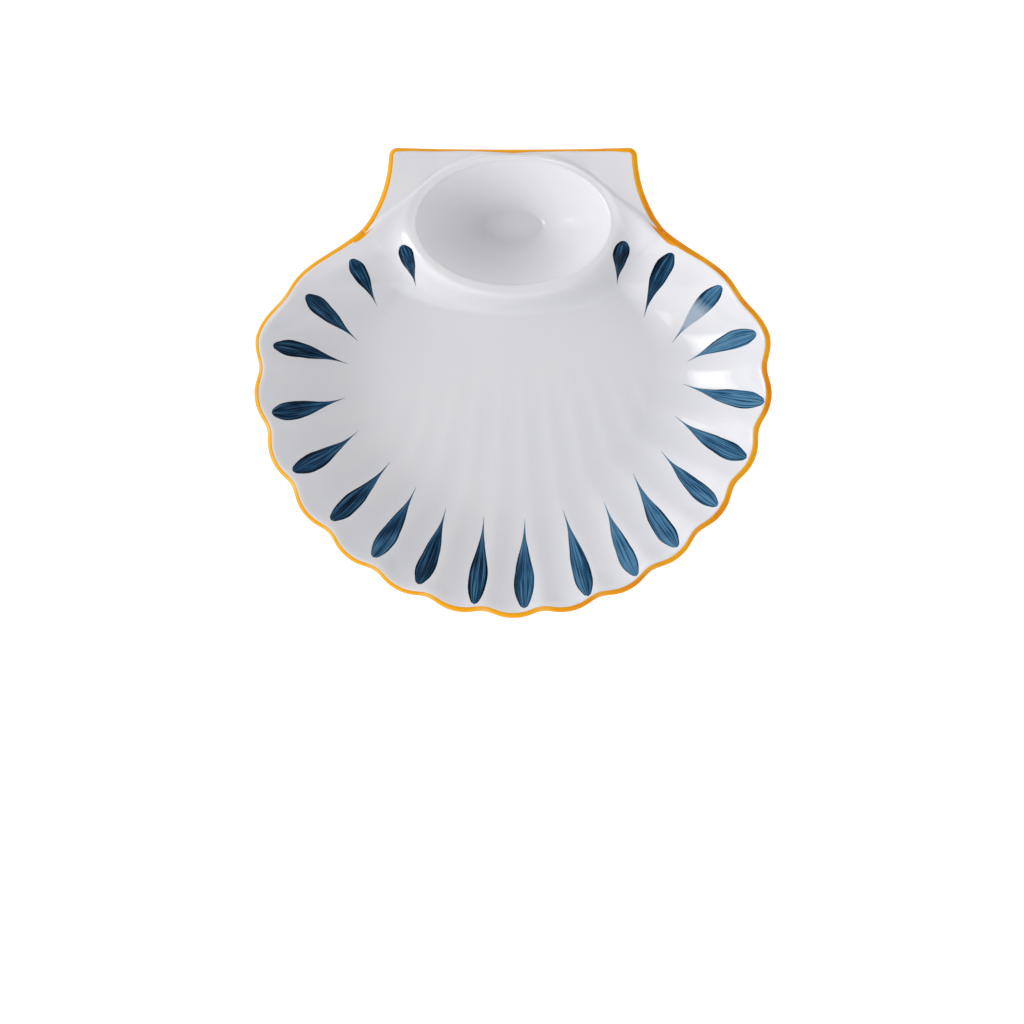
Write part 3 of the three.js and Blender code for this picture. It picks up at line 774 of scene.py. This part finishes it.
# Each stroke, from the left of the well round the front to its right: the pixels of its head and tail, its
# share of the full width, its bend in millimetres and how loaded the brush was
stroke_points = (
    ((402, 245), (416, 287), 0.76, 0.6, 0.9), ((351, 259), (377, 306), 0.82, 0.5, 0.85),
    ((306, 295), (358, 341), 0.9, 0.2, 0.9), ((273, 345), (348, 364), 0.86, 0.9, 1.0),
    ((272, 413), (345, 398), 0.98, -0.9, 0.75), ((293, 471), (358, 431), 0.98, -1.4, 0.8),
    ((331, 520), (390, 462), 0.95, -0.9, 0.8), ((373, 557), (416, 487), 1.0, -0.9, 0.6),
    ((418, 584), (446, 508), 1.0, -0.8, 0.8), ((474, 604), (484, 516), 0.96, -0.4, 0.65),
    ((524, 608), (525, 519), 1.05, 0.2, 0.45), ((588, 596), (563, 510), 0.96, -0.4, 0.35),
    ((636, 576), (604, 502), 0.92, 0.5, 0.1), ((677, 547), (633, 473), 1.02, 1.2, 0.2),
    ((717, 506), (661, 451), 0.92, 0.9, 0.3), ((746, 458), (675, 416), 0.98, 1.4, 0.4),
    ((764, 402), (683, 384), 0.95, 1.2, 0.15), ((756, 333), (687, 362), 0.96, -1.2, 0.05),
    ((721, 286), (672, 343), 0.92, -0.6, 0.3), ((672, 253), (644, 317), 0.93, -1.2, 0.85),
    ((624, 241), (617, 285), 0.84, -0.5, 0.9),
)
stroke_width = 8 * mm
stroke_coat = 0.06 * mm
stroke_bed_coats = 3.0
stroke_edge_thinning = 0.7
stroke_rows = 65
stroke_columns = 15
stroke_swell = (
    (0.0, 0.05), (0.012, 0.3), (0.035, 0.46), (0.07, 0.62), (0.13, 0.84), (0.2, 0.97), (0.28, 1.0),
    (0.4, 0.9), (0.54, 0.66), (0.67, 0.38), (0.78, 0.17), (0.87, 0.075), (1.0, 0.012),
)
edge_wander_rate = 4.0
edge_wander = 0.3
narrowest_share = 0.85
arch_gain = 4.0
ray_height = 60 * mm
weld_distance = 0.001 * mm

brushing, given = geometry_tree(
    "brushing", Head="Vector", Tail="Vector", Bend="Float", Width="Float", Coat="Float", Seed="Float",
    Shell="Object", Finish="Material",
)
sheet = add_node(brushing, "GeometryNodeMeshGrid", 1.0, 1.0, stroke_rows, stroke_columns)
mapped = add_node(
    brushing, "GeometryNodeStoreNamedAttribute", data_type="FLOAT2", domain="CORNER",
    inputs={"Geometry": sheet.outputs["Mesh"], "Name": "stroke_map", "Value": sheet.outputs["UV Map"]},
)
spot = split(brushing, point_position(brushing))
along = calc(brushing, "ADD", spot["X"], 0.5)
across = calc(brushing, "MULTIPLY", spot["Y"], 2.0)

# The outline of a stroke swells and tapers along its length, and each of its edges wanders by itself
swell = add_node(brushing, "ShaderNodeFloatCurve", inputs={"Value": along})
swell_points = swell.mapping.curves[0].points
swell_points[0].location = stroke_swell[0]
swell_points[1].location = stroke_swell[-1]
for point in stroke_swell[1:-1]:
    swell_points.new(*point)
swell.mapping.update()
edge_along = calc(brushing, "MULTIPLY", along, edge_wander_rate)
edge_side = calc(brushing, "SIGN", across)
edge_place = combine(brushing, edge_along, edge_side, given["Seed"])
edge_noise = noise(brushing, edge_place, detail=0.0)
edge_share = calc(brushing, "MULTIPLY_ADD", edge_noise, edge_wander, narrowest_share)
half_stroke = calc(brushing, "MULTIPLY", calc(brushing, "MULTIPLY", given["Width"], 0.5), swell.outputs[0])
sidestep = calc(brushing, "MULTIPLY", calc(brushing, "MULTIPLY", half_stroke, edge_share), across)

# Its middle line bends between head and tail, most in the middle
pull = vector_calc(brushing, "SUBTRACT", given["Tail"], given["Head"])
side = vector_calc(brushing, "NORMALIZE", vector_calc(brushing, "CROSS_PRODUCT", (0, 0, 1), pull))
to_go = calc(brushing, "SUBTRACT", 1.0, along)
arch = calc(brushing, "MULTIPLY", calc(brushing, "MULTIPLY", along, to_go), arch_gain)
offset = calc(brushing, "MULTIPLY_ADD", arch, given["Bend"], sidestep)
on_axis = vector_calc(brushing, "ADD", given["Head"], vector_calc(brushing, "SCALE", pull, along))
flat = vector_calc(brushing, "ADD", on_axis, vector_calc(brushing, "SCALE", side, offset))

# Rays drop it on the glaze, where it is a film that thins at its edges and is bedded in a little
target = add_node(
    brushing, "GeometryNodeObjectInfo", transform_space="RELATIVE", inputs={"Object": given["Shell"]},
)
ray = add_node(brushing, "GeometryNodeRaycast", inputs={
    "Target Geometry": target.outputs["Geometry"],
    "Source Position": vector_calc(brushing, "ADD", flat, (0, 0, ray_height)),
    "Ray Direction": (0, 0, -1),
    "Ray Length": 2 * ray_height,
})
to_edge = calc(brushing, "POWER", across, 2.0)
coat_share = calc(brushing, "MULTIPLY_ADD", to_edge, -stroke_edge_thinning, 1.0)
lift = calc(brushing, "MULTIPLY", coat_share, given["Coat"])
lifted = vector_calc(brushing, "SCALE", ray.outputs["Hit Normal"], lift)
film = vector_calc(brushing, "ADD", ray.outputs["Hit Position"], lifted)
laid = add_node(brushing, "GeometryNodeSetPosition", mapped.outputs[0], inputs={"Position": film})
sunk = calc(brushing, "MULTIPLY", given["Coat"], -stroke_bed_coats)
under = add_node(
    brushing, "GeometryNodeExtrudeMesh", laid.outputs[0], mode="FACES",
    inputs={"Individual": False, "Offset Scale": sunk},
)
turned = add_node(brushing, "GeometryNodeFlipFaces", under.outputs["Mesh"])
both = brushing.nodes.new("GeometryNodeJoinGeometry")
for layer in (laid, turned):
    brushing.links.new(layer.outputs[0], both.inputs[0])
welded = add_node(
    brushing, "GeometryNodeMergeByDistance", both.outputs[0], inputs={"Distance": weld_distance},
)
close_tree(brushing, welded.outputs[0], given["Finish"])

# Cobalt: a loaded brush leaves it nearly black and a dry one a middle blue. Its bristles leave streaks,
# hairs and blots, each with its stretch along and across the stroke, its detail and its gain in tone.
cobalt_tones = (
    (0.0, (0.0015, 0.007, 0.017, 1)), (0.35, (0.0075, 0.044, 0.10, 1)),
    (0.7, (0.034, 0.128, 0.256, 1)), (1.0, (0.10, 0.25, 0.40, 1)),
)
cobalt_roughness = 0.08
cobalt_specular = 0.04
dry_tone = 0.93
loaded_tone = 0.16
streaks = ((1.4, 12, 1), 3.0, 2.4)
hairs = ((2.2, 34, 1), 2.0, 2.6)
blots = ((3, 1.6, 1), 2.0, 1.1)
bristle_shift = (7.3, 3.1)
edge_band = (0.72, 0.97)
edge_tone = -0.5
tail_band = (0.5, 1.0)
tail_tone = 0.35
# Painted reflection: the middle of one stroke is blended to a pale grey-blue, standing in for the window's
# glare on the glaze over it
glare_stroke = 19
cobalt_glare = (0.42, 0.51, 0.62, 1)
glare_share = 0.9
glare_start = (0.28, 0.45)
glare_end = (0.7, 0.88)


def colour_ramp(tree, value, stops):
    node = add_node(tree, "ShaderNodeValToRGB", value)
    elements = node.color_ramp.elements
    for element, (position, colour) in zip(elements, (stops[0], stops[-1])):
        element.position = position
        element.color = colour
    for position, colour in stops[1:-1]:
        elements.new(position).color = colour
    return node.outputs["Color"]


def cobalt_finish(number, load):
    finish, tree, shader = new_finish(f"cobalt_{number:02d}")
    on_stroke = add_node(tree, "ShaderNodeUVMap", uv_map="stroke_map").outputs[0]
    parts = split(tree, on_stroke)
    tone = mix(dry_tone, loaded_tone, load)
    for layer, (stretch, detail, gain) in enumerate((streaks, hairs, blots)):
        shift = (number * bristle_shift[0], number * bristle_shift[1], layer)
        grain = add_node(tree, "ShaderNodeMapping", on_stroke, inputs={"Scale": stretch, "Location": shift})
        centred = calc(tree, "SUBTRACT", noise(tree, grain.outputs[0], detail=detail), 0.5)
        tone = calc(tree, "MULTIPLY_ADD", centred, gain, tone)
    from_middle = calc(tree, "ABSOLUTE", calc(tree, "MULTIPLY_ADD", parts["Y"], 2.0, -1.0))
    edge = remap(tree, from_middle, edge_band, (0.0, edge_tone))
    pulled = remap(tree, parts["X"], tail_band, (0.0, tail_tone))
    tone = calc(tree, "ADD", calc(tree, "ADD", tone, edge), pulled)
    body = colour_ramp(tree, tone, cobalt_tones)
    # Painted reflection of the window's glare along the middle of this stroke
    if number == glare_stroke:
        glare_in = remap(tree, parts["X"], glare_start, (0.0, glare_share))
        glare_out = remap(tree, parts["X"], glare_end, (1.0, 0.0))
        body = blend_colours(tree, calc(tree, "MULTIPLY", glare_in, glare_out), body, cobalt_glare)
    feed_by_name(tree, shader, {
        "Base Color": body, "Roughness": cobalt_roughness, "Specular IOR Level": cobalt_specular,
    })
    return finish


for number, (head, tail, width, bend, load) in enumerate(stroke_points, 1):
    stroke = place(f"brush_stroke_{number:02d}", bpy.data.meshes.new(f"brush_stroke_{number:02d}"))
    grow(
        stroke, brushing, Head=from_photo(head, head_level), Tail=from_photo(tail, tail_level),
        Bend=bend * mm, Width=width * stroke_width, Coat=stroke_coat, Seed=float(number), Shell=shell,
        Finish=cobalt_finish(number, load),
    )
    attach(stroke, "root")
    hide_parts(f"brush_stroke_{number:02d}")

# Rim lines
# Orange-yellow enamel brushed on the edge in two pulls, one along the scallops and one along the ears and
# the hinge, which meet at the notches. It runs thin on the ridges and gathers between them.
full_turn = 2 * half_turn
line_rows = 8
line_bed = 0.12 * mm
line_brim = 0.02

# Its edges are angles round the lip, in degrees: 0 is the outermost line of the lip and 90 its top
line_inner = 91
line_inner_right = 12
line_outer = -24
line_thinning = 20
line_twist = 0.6
line_wander = 8
wander_octaves = 5
wander_shift = 1.7
inner_wander = dict(seed=1, waves=5)
outer_wander = dict(seed=3, waves=7)
notch_turns = (122, 137)
notch_line_end = (137, 139)
notch_line_gain = 8
hinge_line_edge = (
    (120, 96), (133, 112), (146, 118), (151, 104), (156, 70), (166, 58), (175, 66), (180, 82), (186, 66),
    (192, 58), (204, 62), (209, 82), (216, 88), (240, 88),
)


def wandering(seed, waves):
    angle = np.radians(column_turn)
    total = np.zeros(len(angle))
    for octave in range(1, wander_octaves + 1):
        total += np.sin(waves * octave * angle + seed * octave * wander_shift) / octave
    return total / 2


front_edge = line_inner + line_inner_right * np.sin(np.radians(column_turn))
front_edge += notch_line_gain * between(np.abs(column_turn), notch_turns)
hinge_edge = np.interp(column_turn % full_turn, *zip(*hinge_line_edge))
inner_edge = mix(front_edge, hinge_edge, between(np.abs(column_turn), notch_line_end))
inner_edge += line_wander * wandering(**inner_wander)
flute_wave = np.cos(np.radians(column_turn) * full_turn / flute_pitch - line_twist)
outer_edge = line_outer - line_thinning * flute_wave * flute_fade(column_turn)
outer_edge += line_wander * wandering(**outer_wander)


def painted_line(name, columns):
    loops = []
    for step in range(line_rows + 1):
        part = step / line_rows
        rise = paint * np.sin(np.pi * np.clip(part, line_brim, 1 - line_brim)) ** 0.5
        loops.append(lip_ring(np.radians(mix(inner_edge, outer_edge, part)), lip_radius + rise))
    for step in range(line_rows, -1, -1):
        part = step / line_rows
        loops.append(lip_ring(np.radians(mix(inner_edge, outer_edge, part)), lip_radius - line_bed))
    loop_size = len(loops)
    points = np.stack(loops, axis=1)[columns] + (0, shell_y, 0)
    faces = []
    for column in range(len(columns) - 1):
        here = column * loop_size
        there = here + loop_size
        for corner in range(loop_size):
            after = (corner + 1) % loop_size
            faces.append((here + corner, here + after, there + after, there + corner))
    last = (len(columns) - 1) * loop_size
    faces.append(tuple(reversed(range(loop_size))))
    faces.append(tuple(range(last, last + loop_size)))
    mesh = bpy.data.meshes.new(name)
    mesh.from_pydata(points.reshape(-1, 3).tolist(), [], faces)
    store(mesh, "flute_turn", np.repeat(flute_place(column_turn[columns]), loop_size))
    store(mesh, "flute_share", np.repeat(flute_fade(column_turn[columns]), loop_size))
    return mesh


# Enamel: deeper where it gathered and thin on the ridges. Painted shade deepens the gathered patches,
# mostly on the right, and a painted highlight pales the ridges, mostly on the lit left.
orange_full = (0.98, 0.43, 0.008, 1)
orange_deep = (0.86, 0.24, 0.001, 1)
orange_thin = (0.96, 0.55, 0.13, 1)
orange_roughness = 0.12
orange_specular = 0.15
gather_scale = 55
gather_detail = 3.0
gather_band = (0.42, 0.62)
ridge_band = (-0.4, -1.1)
ridge_share = 0.8
left_to_right = (-60 * mm, 90 * mm)
right_shade_share = (0.15, 0.85)

orange, tree, shader = new_finish("orange_line")
gathered = remap(tree, noise(tree, object_place(tree), gather_scale, gather_detail), gather_band)
# Painted light across the dish: a share that grows to the right gives painted shade, and its opposite gives
# painted highlight on the left
shaded_right = remap(tree, split(tree, object_place(tree))["X"], left_to_right, right_shade_share)
lit_left = calc(tree, "SUBTRACT", 1.0, shaded_right)
ridge = remap(tree, flute_pooling(tree), ridge_band, (0.0, ridge_share))
base = blend_colours(tree, calc(tree, "MULTIPLY", gathered, shaded_right), orange_full, orange_deep)
feed_by_name(tree, shader, {
    "Base Color": blend_colours(tree, calc(tree, "MULTIPLY", ridge, lit_left), base, orange_thin),
    "Roughness": orange_roughness, "Specular IOR Level": orange_specular,
})

front_line_columns = np.arange(-notch_column, notch_column + 1) % len(outline)
hinge_line_columns = np.arange(notch_column, len(outline) - notch_column + 1)
for name, columns in (("rim_line_front", front_line_columns), ("rim_line_hinge", hinge_line_columns)):
    line = place(name, painted_line(name, columns))
    grow(line, fluting, Finish=orange, **flute_sizes)
    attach(line, "root")
    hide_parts(name)

# Rim spurs
# Where the first pull of the rim line ends at a notch, the brush leaves a short spur of the same enamel.
# It points in to the crease. Each has the pixels of its head and tail, and its width.
spur_points = {
    "left": ((354, 242.5), (376, 226.3), 1.4 * mm),
    "right": ((675, 245.5), (645, 219.7), 2.5 * mm),
}
for side, (head, tail, width) in spur_points.items():
    spur = place(f"rim_spur_{side}", bpy.data.meshes.new(f"rim_spur_{side}"))
    grow(
        spur, brushing, Head=from_photo(head, rim_level), Tail=from_photo(tail, rim_level), Bend=0.0,
        Width=width, Coat=stroke_coat, Seed=0.0, Shell=shell, Finish=orange,
    )
    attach(spur, "root")

# Table, light and camera
# A white table under a broad window on the left and a pale sky, seen from straight above. The window is
# three panes of light, one in front of the other, so that its reflection fades towards its edges.
sensor = 36
camera_data = bpy.data.cameras.new("camera")
camera_data.sensor_width = sensor
camera_data.lens = photo_scale * camera_height * sensor / picture_size
camera = place("camera", camera_data)
camera.location = (eye_x, eye_y, camera_height + rim_level)
bpy.context.scene.camera = camera

table_reach = 6
table_corners = ((-1, -1), (1, -1), (1, 1), (-1, 1))
table_white = (0.9, 0.9, 0.9, 1)
table_roughness = 0.6
table_glow = 0.6
glow_white = (1, 1, 1, 1)
table_mesh = bpy.data.meshes.new("table")
table_points = [(x * table_reach, y * table_reach, 0) for x, y in table_corners]
table_mesh.from_pydata(table_points, [], [tuple(range(len(table_points)))])
table = place("table", table_mesh)
table_finish, tree, shader = new_finish("table")
rays = tree.nodes.new("ShaderNodeLightPath").outputs
seen = calc(tree, "MAXIMUM", rays["Is Camera Ray"], rays["Is Glossy Ray"])
seen = calc(tree, "MAXIMUM", seen, rays["Is Transmission Ray"])
feed_by_name(tree, shader, {
    "Base Color": table_white, "Roughness": table_roughness, "Specular IOR Level": 0,
    "Emission Color": glow_white, "Emission Strength": calc(tree, "MULTIPLY", seen, table_glow),
})
table_mesh.materials.append(table_finish)

sky_white = (1.0, 0.995, 1.0, 1)
sky_strength = (1.25, 0.3)
world = bpy.data.worlds.new("studio")
world.use_nodes = True
tree = world.node_tree
sky_direction = add_node(tree, "ShaderNodeTexCoord").outputs["Generated"]
sky_level = remap(tree, split(tree, sky_direction)["Z"], whole, sky_strength)
feed_by_name(tree, tree.nodes["Background"], {"Color": sky_white, "Strength": sky_level})
bpy.context.scene.world = world

window_place = np.array((-1.36, -0.42, 0.95))
window_aim = np.array((0, 0, 0.02))
window_wide = 0.9
window_tall = 1.2
window_watts = 7.9
pane_shares = (1.0, 0.72, 0.44)
pane_gap = 0.02
for share in pane_shares:
    light = bpy.data.lights.new(f"window_{share}", "AREA")
    light.shape = "RECTANGLE"
    light.size = window_wide * share
    light.size_y = window_tall * share
    light.energy = window_watts * share ** 2
    lamp = place(f"window_{share}", light)
    lamp.location = mix(window_aim, window_place, 1 - pane_gap + pane_gap * share)
    lamp.rotation_euler = Vector(window_aim - window_place).to_track_quat("-Z", "Y").to_euler()

bpy.context.scene.view_settings.view_transform = "Standard"
